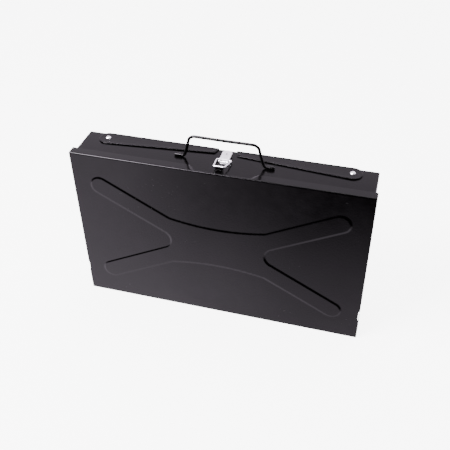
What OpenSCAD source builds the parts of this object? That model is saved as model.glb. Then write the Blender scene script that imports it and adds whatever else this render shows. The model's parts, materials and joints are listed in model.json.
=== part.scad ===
// Folding suitcase charcoal grill, closed and standing on its hinge edge, handle up.
// X runs along the case, Y from the lid (front, -Y) to the back of the tray, Z up.
// The origin is under the middle of the case, on the surface it stands on. Millimetres.

/* [Case] */
// Length of the lid along X
case_length = 450; // [380:5:560]
// Height of the lid along Z, from hinge edge to handle edge
case_height = 274; // [230:2:340]
// Depth of the closed case along Y, without the pressed crosses
case_depth = 70; // [65:1:90]
// Thickness of the painted steel sheet
sheet = 0.8; // [0.6:0.1:1.0]
// Depth of the lid's turned edge
lid_depth = 15; // [14:0.5:17]
// Gap between the lid's end face and the tray's end wall
tray_end_inset = 3.7; // [2.5:0.1:6]
// Drop from the lid's top face to the tray's top wall
tray_top_inset = 4.5; // [4:0.1:6]
// Rise from the standing surface to the tray's bottom wall
tray_foot_inset = 5.8; // [5.8:0.1:7]
// Distance of the tray's rim behind the lid's front face
rim_setback = 4; // [3.5:0.5:8]

/* [Pressed cross] */
// Height of the cross above the panel
cross_rise = 1.0; // [0.6:0.1:1.4]
// Half width of an arm
cross_arm_r = 15; // [10:0.5:18]
// Arm end centre to the panel's end
cross_end_margin = 44; // [36:1:60]
// Arm end centre to the panel's long edge
cross_edge_margin = 53; // [45:1:60]
// Half length of the waist between the upper arms
cross_waist_x = 74; // [60:1:80]
// Half height of the cross at its middle
cross_waist_z = 36.5; // [30:0.5:40]
// How far the waist's long edges bow towards the middle
cross_waist_sag = 7.5; // [4:0.5:9]
// Radius in the fork between two arms
cross_fork_r = 17; // [12:0.5:19]

/* [Lid openings] */
// Offset of the pressed recess from the middle of the case
recess_x = 8; // [0:0.5:10]
// Half length of the pressed recess at the lid's back edge
recess_back_x = 51; // [48:0.5:60]
// Half length of the pressed recess at its front
recess_front_x = 44; // [38:0.5:50]
// Strip of turned edge left in front of the recess
recess_lip = 3; // [2.4:0.1:3.4]
// Gap between the recess floor and the tray's wall
recess_gap = 0.6; // [0.5:0.05:0.8]
// Lower end of the slot in the lid's end edges
end_slot_z = 40; // [30:1:60]
// Height of the slot in the lid's end edges
end_slot_height = 18; // [10:1:24]
// How far the slot in the lid's end edges reaches in from the end
end_slot_bite = 2; // [1.2:0.1:2.4]

/* [Legs] */
// Leg rivet to the middle of the case
leg_pivot_x = 185; // [150:1:200]
// Leg rivet to the back face of the tray
leg_pivot_back = 14.5; // [14:0.5:20]
// Radius of the round end of a leg
leg_end_r = 14; // [11:0.5:14]
// Width of a leg at its foot
leg_foot_width = 13; // [9:0.5:14]
// Gap between the feet of two legs, on their front side
leg_feet_gap = 34; // [32:1:50]
// Length of the slant across a foot
leg_foot_slant = 4; // [0:0.5:6]
// Depth of the leg's channel
leg_depth = 1.8; // [1.6:0.1:3.4]
// Gap between a leg and the tray wall
leg_gap = 0.3; // [0.3:0.1:0.5]
// Radius of a leg rivet's shank
leg_rivet_r = 2.5; // [2:0.1:3.5]
// Radius of a leg rivet's head
leg_rivet_head_r = 4.0; // [4:0.1:6]
// Height of a leg rivet's head
leg_head_height = 2.0; // [1.4:0.1:2.0]
// Outer radius of the spacer inside a leg
leg_spacer_r = 7.0; // [5.5:0.1:8]
// Radial running clearance on a rivet or pin
pin_clearance = 0.05; // [0.03:0.01:0.08]
// End clearance between flat faces that slide on each other
face_clearance = 0.1; // [0.05:0.01:0.2]

/* [Handle] */
// Offset of the handle and latch from the middle of the case
carry_x = 2; // [-3:0.5:3]
// Handle pivot to the lid's front face
handle_from_front = 38; // [36.5:0.5:39]
// Radius of the handle wire
handle_wire_r = 2.1; // [1.8:0.1:2.4]
// Height of the grip above the pivot
handle_rise = 34.5; // [34:0.5:44]
// Half length of the handle over its feet
handle_foot_x = 75; // [74:0.5:78]
// Half length where the feet turn up
handle_heel_x = 60; // [59:0.5:61]
// Height of the knee above the pivot
handle_knee_z = 9; // [8:0.5:11]
// Half length at the knees
handle_knee_x = 56.5; // [55:0.5:58]
// Half length of the grip between its corner points
handle_grip_x = 50.5; // [46:0.5:54]
// Bend radius of the grip's corners, on the wire's centre line
handle_grip_bend = 10; // [5:0.5:12]
// Bend radius of the heels and knees, on the wire's centre line
handle_foot_bend = 4.5; // [4:0.25:5]
// Length of a handle bracket along the wire
bracket_length = 9; // [6:0.5:9]
// Wall of a handle bracket
bracket_wall = 1.0; // [0.8:0.1:1.2]
// Length of a bracket's clinched foot inside the tray
bracket_foot = 5; // [3:0.5:6]

/* [Latch] */
// Latch pivot to the lid's front face
latch_from_front = 35.5; // [34.5:0.5:36]
// Height of the latch pivot above the tray wall
latch_pivot_z = 3.0; // [2.8:0.1:3.2]
// Latch pivot to the far end of the thumb piece
lever_length = 28; // [25:0.5:28]
// Half width of the thumb piece
lever_r = 7.5; // [7:0.1:8.2]
// Thickness of the latch sheet
latch_sheet = 0.8; // [0.6:0.1:0.9]
// Latch pivot to the bail pivot, along the lever
bail_offset = 5; // [4.8:0.1:5.4]
// Radius of the bail wire
bail_wire_r = 1.1; // [0.9:0.1:1.2]
// Half width of the bail at its pivot, on the wire's centre line
bail_back_x = 11.2; // [10.8:0.1:12]
// Half width of the bail at the keeper, on the wire's centre line
bail_front_x = 8; // [7:0.25:8.5]
// Clearance between the bail and the keeper's crest
bail_clearance = 0.35; // [0.3:0.05:0.6]
// Height of the keeper's crest above the lid
keeper_rise = 3.6; // [3:0.1:4]
// Half width of the keeper
keeper_x = 6; // [5:0.25:6]

/* [Hinges] */
// Hinge middle to the middle of the case
hinge_x = 140; // [110:1:170]
// Length of a hinge
hinge_length = 50; // [40:1:60]
// Radius of a hinge knuckle
knuckle_r = 2.3; // [2.2:0.05:2.4]
// Radius of a hinge pin
hinge_pin_r = 1.2; // [1:0.05:1.3]
// Gap between neighbouring knuckles
knuckle_gap = 0.3; // [0.2:0.05:0.5]
// Width of a hinge leaf from its pin
leaf_width = 12.5; // [10:0.5:13]

/* [Grates] */
// Distance of the cooking grates behind the lid's front face
cook_from_front = 16; // [15:0.5:20]
// Radius of a grate's frame wire
grate_frame_r = 2.0; // [1.5:0.1:2.5]
// Radius of a grate's bars
grate_bar_r = 1.25; // [1:0.05:1.5]
// Spacing of the cooking bars
cook_pitch = 12.5; // [10:0.5:20]
// Spacing of the charcoal bars
coal_pitch = 18; // [14:1:24]
// Gap between a grate and the wall beside it
grate_side_gap = 3; // [2:0.5:6]
// Gap between the two cooking grates
grate_mid_gap = 4; // [3:0.5:8]
// Height of the charcoal grate off the tray's back panel
coal_standoff = 9; // [6:0.5:12]
// Bend radius at a grate's corners
grate_corner_r = 12; // [8:1:16]
// Shelf width of a grate rail
rail_shelf = 10; // [8:0.5:12]
// Length of a grate rail
rail_length = 400; // [320:5:400]
// Sheet thickness of a grate rail
rail_sheet = 1.0; // [0.8:0.1:1.2]

/* [Vents] */
// Number of air holes in each end wall
vent_count = 5; // [3:1:7]
// Radius of an air hole
vent_r = 4; // [3:0.5:5]
// Spacing of the air holes
vent_pitch = 32; // [20:1:34]

/* [Hidden] */
$fn = 48;

black_paint = [0.09, 0.085, 0.09];
zinc = [0.80, 0.81, 0.82];
chrome = [0.72, 0.73, 0.75];
bare_steel = [0.42, 0.42, 0.43];

// Lid and tray faces
front = -case_depth / 2;
back = case_depth / 2;
lid_back = front + lid_depth;
tray_half_x = case_length / 2 - tray_end_inset;
tray_top = case_height - tray_top_inset;
tray_foot = tray_foot_inset;
tray_front = front + rim_setback;
over = 1;
weld_gap = 0.02;
wire_sides = 24;
wire_step = 15;

// Pressed cross
cross_end_x = case_length / 2 - cross_end_margin;
cross_end_z = case_height / 2 - cross_edge_margin;
cross_edge_z = cross_waist_z + cross_waist_sag;
cross_sag_r = (cross_waist_x * cross_waist_x + cross_waist_sag * cross_waist_sag) / (2 * cross_waist_sag);
// The arm's outer edge passes through the waist's corner
cross_corner_dx = cross_end_x - cross_waist_x;
cross_corner_dz = cross_end_z - cross_edge_z;
cross_corner_d = norm([cross_corner_dx, cross_corner_dz]);
cross_angle = atan2(cross_corner_dz, cross_corner_dx) + asin(cross_arm_r / cross_corner_d);
cross_arm_length = cross_corner_d + cross_arm_r;
// Small drop that keeps three edges from meeting at the waist's corner
cross_corner_relief = 0.3;
// The fork's circle touches the inner edges of both arms
cross_fork_gap = cross_end_z * cos(cross_angle) - cross_arm_r - cross_fork_r;
cross_fork_x = cross_end_x - cross_fork_gap / sin(cross_angle);

// Legs
leg_pivot_y = back - leg_pivot_back;
leg_reach = leg_pivot_x - leg_feet_gap / 2;
leg_web_inner = leg_gap + leg_depth - sheet;
leg_outer = leg_gap + leg_depth;
leg_spacer_height = leg_web_inner - face_clearance;
leg_tail_height = 1.2;
leg_foot_v = leg_end_r - leg_foot_width;
leg_slope = atan2(leg_foot_v, leg_reach) + asin(leg_end_r / norm([leg_reach, leg_foot_v]));

// Handle
handle_y = front + handle_from_front;
handle_z = tray_top + handle_wire_r + 0.2;
bracket_x = handle_foot_x - 2 - bracket_length / 2;
bracket_bore_r = handle_wire_r + pin_clearance;
bracket_outer_r = bracket_bore_r + bracket_wall;
bracket_thick = sheet;
slot_clearance = 0.05;

// Small rivets of the latch
small_rivet_r = 1.0;
small_rivet_head_r = 1.9;

// Latch
latch_y = front + latch_from_front;
latch_z = tray_top + latch_pivot_z;
latch_pin_r = 1.0;
ear_r = 1.9;
barrel_r = 1.9;
base_ear_x = 5.4;
lever_ear_x = base_ear_x + latch_sheet + face_clearance;
lever_plate_z = latch_pivot_z + 0.6;
lever_plate_start = ear_r + 0.7;
bail_y = latch_y + bail_offset;
bail_z = latch_z - 0.1;
keeper_crest_z = case_height + keeper_rise;
bail_bar_z = keeper_crest_z + bail_clearance + bail_wire_r;
keeper_wall = 1.2;
keeper_hook_y = lid_back - keeper_wall;
bail_bar_y = keeper_hook_y - 1.0;

// Pressed recess in the lid's top edge
recess_floor_low = tray_top + recess_gap;
recess_floor = recess_floor_low + sheet;
recess_front_y = front + recess_lip;

// Hinges
hinge_axis_y = lid_back + 2.5;
hinge_axis_z = knuckle_r + 0.1;
knuckle_length = (hinge_length - 2 * knuckle_gap) / 3;
tray_leaf_z = tray_foot - sheet;

// Grates
cook_y = front + cook_from_front;
tray_inner_x = tray_half_x - sheet;
tray_inner_top = tray_top - sheet;
tray_inner_foot = tray_foot + sheet;
tray_inner_back = back - sheet;
cook_length = tray_inner_x - grate_side_gap - grate_mid_gap / 2;
cook_height = tray_inner_top - tray_inner_foot - 2 * grate_side_gap;
grate_mid_z = (tray_inner_top + tray_inner_foot) / 2;
coal_y = tray_inner_back - coal_standoff;
coal_length = 2 * (tray_inner_x - 2 * grate_side_gap);
coal_height = cook_height - 2 * grate_side_gap;

// ---- shared shapes ----

// A round rod between two points
module rod(a, b, r) {
    d = b - a;
    translate(a)
        rotate([0, acos(d.z / norm(d)), atan2(d.y, d.x)])
            cylinder(h = norm(d), r = r);
}

// Unit vector and turning angle helpers for a bent wire
function unit(v) = v / norm(v);
function turn(u, v) = atan2(u.x * v.y - u.y * v.x, u.x * v.x + u.y * v.y);

// Centre-line points of one bend of radius bend at b, between a and c
function bend_points(a, b, c, bend) =
    let (
        u = unit(b - a),
        angle = turn(u, unit(c - b)),
        side = sign(angle),
        entry = b - u * bend * tan(abs(angle) / 2),
        centre = entry + side * bend * [-u.y, u.x],
        start = atan2(entry.y - centre.y, entry.x - centre.x),
        steps = ceil(abs(angle) / wire_step)
    )
    [for (i = [0 : steps]) centre + bend * [cos(start + angle * i / steps), sin(start + angle * i / steps)]];

// The wire's section at point i of a centre line, in the plane that halves the corner there
function wire_ring(line, i, r) =
    let (
        into = unit(i == 0 ? line[1] - line[0] : line[i] - line[i - 1]),
        out = unit(i == len(line) - 1 ? into : line[i + 1] - line[i]),
        mid = unit(into + out),
        widen = 1 / (mid.x * into.x + mid.y * into.y)
    )
    [for (k = [0 : wire_sides - 1])
        let (a = 360 * k / wire_sides)
        [line[i].x - mid.y * r * widen * cos(a), line[i].y + mid.x * r * widen * cos(a), r * sin(a)]];

// A round wire along a flat path in XY, bent with its own radius at each inner point.
module bent_wire(path, bend, r) {
    last = len(path) - 1;
    line = [
        path[0],
        for (i = [1 : last - 1]) each bend_points(path[i - 1], path[i], path[i + 1], bend[i]),
        path[last]
    ];
    n = len(line);
    polyhedron(
        points = [for (i = [0 : n - 1]) each wire_ring(line, i, r)],
        faces = [
            [for (k = [0 : wire_sides - 1]) k],
            [for (k = [wire_sides - 1 : -1 : 0]) (n - 1) * wire_sides + k],
            for (i = [0 : n - 2], k = [0 : wire_sides - 1])
                let (m = (k + 1) % wire_sides)
                [i * wire_sides + k, (i + 1) * wire_sides + k, (i + 1) * wire_sides + m, i * wire_sides + m]
        ]
    );
}

// A round wire bent into a closed rectangle with round corners, flat in XY
module wire_frame(length, height, corner_r, r) {
    x = length / 2 - corner_r;
    y = height / 2 - corner_r;
    for (s = [-1, 1]) {
        rod([-x, s * height / 2, 0], [x, s * height / 2, 0], r);
        rod([s * length / 2, -y, 0], [s * length / 2, y, 0], r);
    }
    for (q = [[x, y, 0], [-x, y, 90], [-x, -y, 180], [x, -y, 270]])
        translate([q.x, q.y, 0])
            rotate([0, 0, q.z])
                rotate_extrude(angle = 90)
                    translate([corner_r, 0])
                        circle(r);
}

// A domed rivet head, flat side at z = 0, with a small flat on its crown
module rivet_head(head_r, height) {
    dome_h = height * 1.06;
    dome_r = (head_r * head_r + dome_h * dome_h) / (2 * dome_h);
    intersection() {
        translate([0, 0, dome_h - dome_r])
            sphere(r = dome_r);
        cylinder(h = height, r = head_r + over);
    }
}

// A small rivet through two sheets: head outside, shank inwards to its buck tail
module small_rivet(shank_r, head_r, depth) {
    rivet_head(head_r, head_r * 0.45);
    translate([0, 0, -depth])
        cylinder(h = depth + 0.1, r = shank_r);
    translate([0, 0, -depth - 0.6])
        cylinder(h = 0.6, r = shank_r * 1.5);
}

// Outline of the pressed cross about its middle, in XY, with every edge moved out by grow
module cross_outline(grow) {
    arm_r = cross_arm_r + grow;
    fork_r = cross_fork_r - grow;
    difference() {
        union() {
            for (sx = [-1, 1], sz = [-1, 1])
                scale([sx, sz])
                    translate([cross_end_x, cross_end_z])
                        rotate(180 + cross_angle) {
                            circle(arm_r);
                            translate([0, -arm_r])
                                square([cross_arm_length, 2 * arm_r]);
                        }
            square([
                2 * (cross_fork_x - fork_r * sin(cross_angle)),
                2 * (cross_edge_z - cross_corner_relief + grow)
            ], center = true);
        }
        for (sz = [-1, 1])
            intersection() {
                translate([0, sz * (cross_waist_z + cross_sag_r)])
                    circle(cross_sag_r - grow, $fn = 256);
                square([2 * cross_waist_x - cross_corner_relief, 4 * cross_end_z], center = true);
            }
        for (sx = [-1, 1])
            translate([sx * cross_fork_x, 0])
                circle(fork_r);
    }
}

// The cross standing out of a panel: an outer pad less the hollow pressed from inside.
// The panel's outer face lies at y = 0 and the cross rises towards -Y.
module cross_pad(grow, from, to) {
    translate([0, to, case_height / 2])
        rotate([90, 0, 0])
            linear_extrude(height = to - from)
                cross_outline(grow);
}

// ---- tray ----

module tray_shell() {
    color(black_paint)
    difference() {
        union() {
            translate([-tray_half_x, tray_front, tray_foot])
                cube([2 * tray_half_x, back - tray_front, tray_top - tray_foot]);
            mirror([0, 1, 0])
                translate([0, -back, 0])
                    cross_pad(0, -cross_rise, sheet / 2);
        }
        translate([-tray_inner_x, tray_front - over, tray_inner_foot])
            cube([2 * tray_inner_x, tray_inner_back - tray_front + over, tray_inner_top - tray_inner_foot]);
        mirror([0, 1, 0])
            translate([0, -back, 0])
                cross_pad(-sheet, sheet - cross_rise, sheet + over);
        end_vents();
        wall_holes();
    }
}

module end_vents() {
    for (i = [0 : vent_count - 1])
        translate([0, leg_pivot_y, grate_mid_z + (i - (vent_count - 1) / 2) * vent_pitch])
            rotate([0, 90, 0])
                cylinder(h = case_length, r = vent_r, center = true);
}

// Holes in the long walls for every rivet that passes through them
module wall_holes() {
    for (s = [-1, 1])
        translate([s * leg_pivot_x, leg_pivot_y, -over])
            cylinder(h = case_height + 2 * over, r = leg_rivet_r + pin_clearance);
    for (s = [-1, 1], t = [-1, 1])
        translate([carry_x + s * bracket_x, handle_y + t * (bracket_outer_r - bracket_thick / 2), tray_top])
            cube([bracket_length + 2 * slot_clearance, bracket_thick + 2 * slot_clearance, 4 * sheet], center = true);
    for (y = base_rivet_ys())
        translate([carry_x, y, tray_top - 2 * sheet])
            cylinder(h = 3 * sheet, r = small_rivet_r + pin_clearance);
}

module leg_rivets() {
    color(zinc)
    for (s = [-1, 1], m = [0, 1])
        translate([s * leg_pivot_x, leg_pivot_y, m == 0 ? tray_top : tray_foot])
            mirror([0, 0, m])
                leg_rivet();
}

// One leg rivet on a wall at z = 0, head outside
module leg_rivet() {
    translate([0, 0, leg_outer + face_clearance])
        rivet_head(leg_rivet_head_r, leg_head_height);
    translate([0, 0, -sheet - weld_gap])
        cylinder(h = sheet + leg_outer + face_clearance + 0.2, r = leg_rivet_r);
    translate([0, 0, -sheet - weld_gap - leg_tail_height])
        cylinder(h = leg_tail_height, r = leg_rivet_r * 1.5);
}

module leg_spacers() {
    color(bare_steel)
    for (s = [-1, 1], m = [0, 1])
        translate([s * leg_pivot_x, leg_pivot_y, m == 0 ? tray_top : tray_foot])
            mirror([0, 0, m])
                difference() {
                    cylinder(h = leg_spacer_height, r = leg_spacer_r);
                    translate([0, 0, -over])
                        cylinder(h = leg_spacer_height + 2 * over, r = leg_rivet_r + pin_clearance);
                }
}

// ---- legs ----

// Outline of a leg about its rivet, foot towards +X, back edge on +Y, edges moved in by inset
module leg_outline(inset) {
    r = leg_end_r - inset;
    reach = leg_reach - inset;
    slant = leg_foot_slant;
    circle(r);
    polygon([
        [r * sin(leg_slope), -r * cos(leg_slope)],
        [reach, reach * tan(leg_slope) - r / cos(leg_slope)],
        [reach + slant, r],
        [0, r]
    ]);
}

// A leg's channel on a wall at z = 0, opening towards the wall
module leg_channel() {
    difference() {
        translate([0, 0, leg_gap])
            linear_extrude(height = leg_depth)
                leg_outline(0);
        translate([0, 0, leg_gap - over])
            linear_extrude(height = leg_depth - sheet + over)
                leg_outline(sheet);
        cylinder(h = leg_outer + over, r = leg_rivet_r + pin_clearance);
    }
}

module leg(on_right, on_foot) {
    color(black_paint)
    translate([on_right ? leg_pivot_x : -leg_pivot_x, leg_pivot_y, on_foot ? tray_foot : tray_top])
        mirror([on_right ? 1 : 0, 0, 0])
            mirror([0, 0, on_foot ? 1 : 0])
                leg_channel();
}

module leg_top_left() {
    leg(false, false);
}

module leg_top_right() {
    leg(true, false);
}

module leg_bottom_left() {
    leg(false, true);
}

module leg_bottom_right() {
    leg(true, true);
}

// ---- handle ----

module handle() {
    right = [
        [handle_grip_x, handle_rise],
        [handle_knee_x, handle_knee_z],
        [handle_heel_x, 0],
        [handle_foot_x, 0]
    ];
    left = [for (i = [3 : -1 : 0]) [-right[i].x, right[i].y]];
    bend = [0, handle_foot_bend, handle_foot_bend, handle_grip_bend,
            handle_grip_bend, handle_foot_bend, handle_foot_bend, 0];
    color(black_paint)
    translate([carry_x, handle_y, handle_z])
        rotate([90, 0, 0])
            bent_wire(concat(left, right), bend, handle_wire_r);
}

// A strap over the handle's foot, through two slots in the wall and clinched inside
module handle_bracket(side) {
    leg_bottom = tray_top - sheet - weld_gap - bracket_thick;
    color(black_paint)
    translate([carry_x + side * bracket_x - bracket_length / 2, handle_y, 0])
        difference() {
            union() {
                translate([0, 0, handle_z])
                    rotate([0, 90, 0])
                        cylinder(h = bracket_length, r = bracket_outer_r);
                translate([0, -bracket_outer_r, leg_bottom])
                    cube([bracket_length, 2 * bracket_outer_r, handle_z - leg_bottom]);
                translate([0, -bracket_outer_r - bracket_foot, leg_bottom])
                    cube([bracket_length, 2 * (bracket_outer_r + bracket_foot), bracket_thick]);
            }
            translate([-over, 0, handle_z])
                rotate([0, 90, 0])
                    cylinder(h = bracket_length + 2 * over, r = bracket_bore_r);
            translate([-over, -bracket_outer_r + bracket_thick, leg_bottom - over])
                cube([bracket_length + 2 * over, 2 * (bracket_outer_r - bracket_thick), tray_top + over - leg_bottom]);
        }
}

module handle_bracket_left() {
    handle_bracket(-1);
}

module handle_bracket_right() {
    handle_bracket(1);
}

// ---- latch ----

function base_rivet_ys() = [latch_y + 12, latch_y + 21];

module latch_base() {
    base_back = latch_y + lever_length - lever_r - 2;
    color(zinc)
    translate([carry_x, 0, 0])
    difference() {
        union() {
            translate([0, 0, tray_top])
                linear_extrude(height = latch_sheet) {
                    translate([-base_ear_x - latch_sheet, latch_y - ear_r])
                        square([2 * (base_ear_x + latch_sheet), base_back - latch_y + ear_r]);
                    translate([0, base_back])
                        circle(base_ear_x + latch_sheet);
                }
            for (s = [-1, 1])
                translate([s * (base_ear_x + latch_sheet / 2), latch_y, 0])
                    base_ear();
        }
        for (y = base_rivet_ys())
            translate([0, y, tray_top - over])
                cylinder(h = latch_sheet + 2 * over, r = small_rivet_r + pin_clearance);
    }
}

// One upright ear of the base, with the pin's hole
module base_ear() {
    difference() {
        union() {
            translate([0, 0, latch_z])
                rotate([0, 90, 0])
                    cylinder(h = latch_sheet, r = ear_r, center = true);
            translate([-latch_sheet / 2, -ear_r, tray_top])
                cube([latch_sheet, 2 * ear_r, latch_pivot_z]);
        }
        translate([0, 0, latch_z])
            rotate([0, 90, 0])
                cylinder(h = 4 * latch_sheet, r = latch_pin_r + pin_clearance, center = true);
    }
}

module latch_base_rivets() {
    color(zinc)
    for (y = base_rivet_ys())
        translate([carry_x, y, tray_top + latch_sheet + weld_gap])
            small_rivet(small_rivet_r, small_rivet_head_r, latch_sheet + sheet + 2 * weld_gap);
}

module latch_pin() {
    half = lever_ear_x + latch_sheet + 0.5;
    color(zinc)
    translate([carry_x - half, latch_y, latch_z])
        rotate([0, 90, 0])
            cylinder(h = 2 * half, r = latch_pin_r);
}

// Thumb piece: a round-ended plate with two ears turned down beside the base's ears
module latch_lever() {
    plate_end = latch_y + lever_length - lever_r;
    slot_length = 4;
    slot_r = 0.9;
    color(zinc)
    translate([carry_x, 0, 0])
    difference() {
        union() {
            translate([0, 0, tray_top + lever_plate_z])
                linear_extrude(height = latch_sheet) {
                    translate([-lever_ear_x - latch_sheet, latch_y + lever_plate_start])
                        square([2 * (lever_ear_x + latch_sheet), plate_end - latch_y - lever_plate_start]);
                    translate([0, plate_end])
                        circle(lever_r);
                }
            for (s = [-1, 1])
                translate([s * (lever_ear_x + latch_sheet / 2), 0, 0])
                    lever_ear();
            translate([0, bail_y, bail_z])
                rotate([0, 90, 0])
                    cylinder(h = 2 * lever_ear_x + latch_sheet, r = barrel_r, center = true);
        }
        translate([0, latch_y, latch_z])
            rotate([0, 90, 0])
                cylinder(h = 4 * lever_ear_x, r = latch_pin_r + pin_clearance, center = true);
        translate([0, bail_y, bail_z])
            rotate([0, 90, 0])
                cylinder(h = 4 * lever_ear_x, r = bail_wire_r + pin_clearance, center = true);
        translate([0, plate_end - 2, tray_top + lever_plate_z - over])
            linear_extrude(height = latch_sheet + 2 * over) {
                square([2 * slot_r, slot_length], center = true);
                for (t = [-1, 1])
                    translate([0, t * slot_length / 2])
                        circle(slot_r);
            }
    }
}

module lever_ear() {
    ear_low = 1.1;
    ear_end = bail_offset + 3;
    translate([0, latch_y, latch_z])
        rotate([0, 90, 0])
            cylinder(h = latch_sheet, r = ear_r, center = true);
    translate([-latch_sheet / 2, latch_y, tray_top + ear_low])
        cube([latch_sheet, ear_end, lever_plate_z + latch_sheet - ear_low]);
}

// Wire bail: feet turned inwards through the lever's ears, bar over the keeper
module latch_bail() {
    rise = bail_bar_z - bail_z;
    run = bail_y - bail_bar_y;
    reach = norm([run, rise]);
    foot_x = 2;
    bend = 2;
    half = [[bail_front_x, reach], [bail_back_x, 0], [foot_x, 0]];
    left = [for (i = [2 : -1 : 0]) [-half[i].x, half[i].y]];
    color(zinc)
    translate([carry_x, bail_y, bail_z])
        rotate([-atan2(rise, run), 0, 0])
            mirror([0, 1, 0])
                bent_wire(concat(left, half), [0, bend, bend, bend, bend, 0], bail_wire_r);
}

// ---- hinges ----

// One knuckle, from x0 to x1 along the hinge axis
module knuckle(x0, x1) {
    translate([x0, hinge_axis_y, hinge_axis_z])
        rotate([0, 90, 0])
            cylinder(h = x1 - x0, r = knuckle_r);
}

module hinge_bore() {
    translate([0, hinge_axis_y, hinge_axis_z])
        rotate([0, 90, 0])
            cylinder(h = 2 * hinge_length, r = hinge_pin_r + pin_clearance, center = true);
}

// Tray leaf: welded under the tray wall, one knuckle in the middle
module tray_leaf() {
    k = knuckle_length / 2;
    clear_y = hinge_axis_y + knuckle_r + knuckle_gap;
    color(black_paint)
    difference() {
        union() {
            knuckle(-k, k);
            translate([-k, hinge_axis_y - sheet / 2, hinge_axis_z])
                cube([2 * k, knuckle_r + sheet / 2, tray_foot - hinge_axis_z]);
            translate([-hinge_length / 2, clear_y, tray_leaf_z])
                cube([hinge_length, leaf_width - knuckle_r, sheet]);
            translate([-k, hinge_axis_y, tray_leaf_z])
                cube([2 * k, clear_y - hinge_axis_y + over, sheet]);
        }
        hinge_bore();
    }
}

// Lid leaf: welded inside the lid's turned edge, two outer knuckles
module lid_leaf() {
    k = knuckle_length / 2;
    outer = hinge_length / 2;
    clear_y = hinge_axis_y - knuckle_r - knuckle_gap;
    color(black_paint)
    difference() {
        union() {
            for (s = [-1, 1]) {
                knuckle(s > 0 ? k + knuckle_gap : -outer, s > 0 ? outer : -k - knuckle_gap);
                translate([s > 0 ? k + knuckle_gap : -outer, clear_y - over, sheet])
                    cube([outer - k - knuckle_gap, hinge_axis_y - clear_y + over, sheet]);
            }
            translate([-outer, hinge_axis_y - leaf_width, sheet])
                cube([hinge_length, leaf_width - knuckle_r - knuckle_gap, sheet]);
        }
        hinge_bore();
    }
}

module hinge_pin() {
    half = hinge_length / 2 + 0.6;
    color(bare_steel)
    translate([-half, hinge_axis_y, hinge_axis_z])
        rotate([0, 90, 0])
            cylinder(h = 2 * half, r = hinge_pin_r);
}

module hinge_left_tray_leaf() {
    translate([-hinge_x, 0, 0])
        tray_leaf();
}

module hinge_right_tray_leaf() {
    translate([hinge_x, 0, 0])
        tray_leaf();
}

module hinge_left_lid_leaf() {
    translate([-hinge_x, 0, 0])
        lid_leaf();
}

module hinge_right_lid_leaf() {
    translate([hinge_x, 0, 0])
        lid_leaf();
}

module hinge_left_pin() {
    translate([-hinge_x, 0, 0])
        hinge_pin();
}

module hinge_right_pin() {
    translate([hinge_x, 0, 0])
        hinge_pin();
}

// ---- lid ----

module lid_shell() {
    inner_x = case_length / 2 - sheet;
    color(black_paint)
    difference() {
        union() {
            translate([-case_length / 2, front, 0])
                cube([case_length, lid_depth, case_height]);
            translate([0, front, 0])
                cross_pad(0, -cross_rise, sheet / 2);
        }
        difference() {
            translate([-inner_x, front + sheet, sheet])
                cube([2 * inner_x, lid_depth + over, case_height - 2 * sheet]);
            translate([0, 0, recess_floor_low])
                linear_extrude(height = case_height - recess_floor_low)
                    recess_outline(sheet, 0);
        }
        translate([0, 0, recess_floor])
            linear_extrude(height = case_height + over - recess_floor)
                recess_outline(0, over);
        translate([0, front, 0])
            cross_pad(-sheet, sheet - cross_rise, sheet + over);
        for (s = [-1, 1])
            translate([s * case_length / 2, front + lid_depth / 2, end_slot_z + end_slot_height / 2])
                cube([2 * end_slot_bite, lid_depth + 2 * over, end_slot_height], center = true);
    }
}

// Plan of the recess, its sides and front moved out by grow, run past the lid's back edge by past
module recess_outline(grow, past) {
    depth = lid_back - recess_front_y;
    lean = (recess_back_x - recess_front_x) / depth;
    side = grow * norm([1, lean]);
    front_x = recess_front_x + side - lean * grow;
    back_x = recess_back_x + side + lean * past;
    translate([recess_x, 0])
        polygon([
            [-front_x, recess_front_y - grow],
            [front_x, recess_front_y - grow],
            [back_x, lid_back + past],
            [-back_x, lid_back + past]
        ]);
}

// Keeper: a foot welded into the recess, an upright hook wall with a short nose forwards
module keeper() {
    foot_front = recess_front_y + 1;
    nose = 1.6;
    color(black_paint)
    translate([carry_x - keeper_x, 0, 0])
        rotate([90, 0, 90])
            linear_extrude(height = 2 * keeper_x)
                polygon([
                    [foot_front, recess_floor],
                    [lid_back, recess_floor],
                    [lid_back, keeper_crest_z],
                    [keeper_hook_y - nose, keeper_crest_z],
                    [keeper_hook_y - nose, keeper_crest_z - 0.8],
                    [keeper_hook_y, keeper_crest_z - keeper_wall],
                    [keeper_hook_y, recess_floor + keeper_wall],
                    [foot_front, recess_floor + keeper_wall]
                ]);
}

// ---- grates ----

// Welded angle along a long wall that carries the cooking grates
module grate_rail(wall_z, side) {
    shelf_y = cook_y + grate_frame_r + 0.05;
    color(black_paint)
    translate([-rail_length / 2, shelf_y, 0]) {
        translate([0, 0, side > 0 ? wall_z : wall_z - rail_shelf])
            cube([rail_length, rail_sheet, rail_shelf]);
        translate([0, 0, side > 0 ? wall_z : wall_z - rail_sheet])
            cube([rail_length, rail_shelf, rail_sheet]);
    }
}

module grate_rail_top() {
    grate_rail(tray_inner_top, -1);
}

module grate_rail_bottom() {
    grate_rail(tray_inner_foot, 1);
}

module cooking_grate_frame(side) {
    color(chrome)
    translate([side * (grate_mid_gap / 2 + cook_length / 2), cook_y, grate_mid_z])
        rotate([90, 0, 0])
            wire_frame(cook_length - 2 * grate_frame_r, cook_height - 2 * grate_frame_r,
                       grate_corner_r, grate_frame_r);
}

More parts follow.
